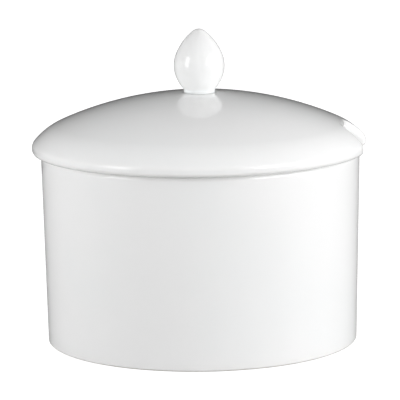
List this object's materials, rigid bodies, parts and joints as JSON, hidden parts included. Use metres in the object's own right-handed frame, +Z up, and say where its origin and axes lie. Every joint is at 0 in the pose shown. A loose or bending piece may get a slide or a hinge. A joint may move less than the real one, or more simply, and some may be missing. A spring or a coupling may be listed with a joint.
{
  "type": "lidded porcelain pot",
  "caption": "Round white porcelain pot with nearly straight walls and a domed lift-off lid that has a drop-shaped knob, a locating flange and a spoon notch in its edge.",
  "frame": {"origin": "centre of the foot ring, in the plane that it stands on", "axes": "+Z up the pot's axis, +X towards the spoon notch in the lid"},
  "size_m": [0.0992, 0.1, 0.0932],
  "materials": {
    "white_glaze": "clear gloss glaze over white porcelain"
  },
  "bodies": {
    "pot": {"pot": "white_glaze"},
    "lid": {"lid": "white_glaze", "knob": "white_glaze"}
  },
  "joints": [
    {"name": "lid_lift", "type": "slide", "parent": "pot", "child": "lid", "axis": [0, 0, 1], "range_m": [0, 0.08]}
  ]
}
